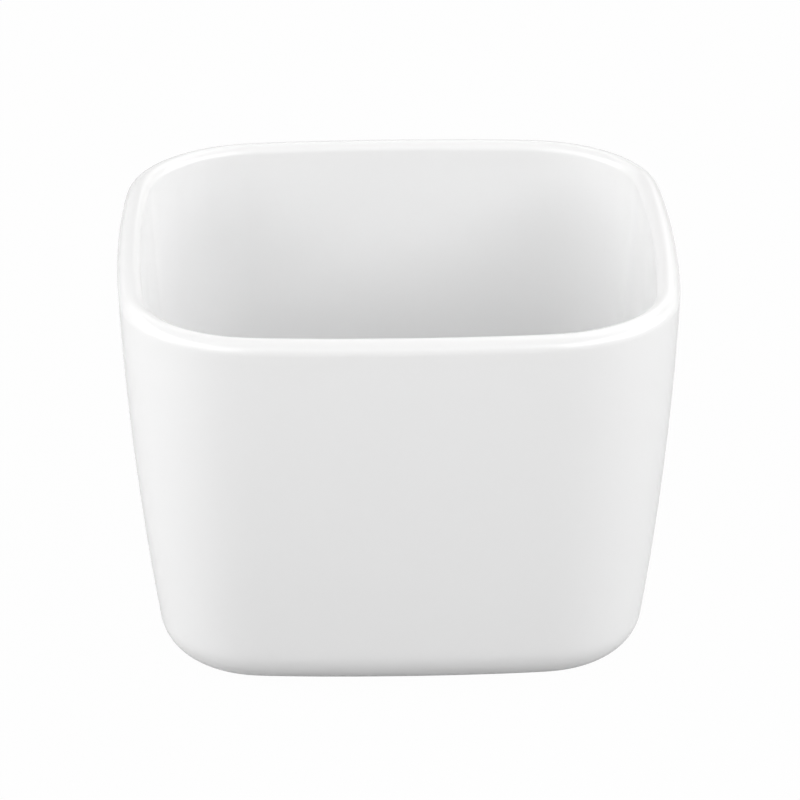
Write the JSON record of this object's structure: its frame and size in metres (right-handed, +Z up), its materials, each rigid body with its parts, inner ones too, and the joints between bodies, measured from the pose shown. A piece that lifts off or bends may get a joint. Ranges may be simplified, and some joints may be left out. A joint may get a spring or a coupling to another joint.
{
  "type": "square bowl",
  "caption": "Deep square porcelain bowl with bowed sides, round corners, a soft rolled lip and a shallow recess inside its standing ring, glazed white inside and out.",
  "frame": {"origin": "middle of the face that the bowl stands on", "axes": "+Z up, +X and +Y square to the flat sides; the side nearest the viewer in the picture faces -Y"},
  "size_m": [0.1, 0.1, 0.069],
  "materials": {
    "porcelain": "matt, unglazed and slightly gritty",
    "glaze": "gloss, clear over white"
  },
  "bodies": {
    "root": {"porcelain_body": "porcelain", "glaze_coat": "glaze", "underside_glaze": "glaze"}
  },
  "joints": []
}
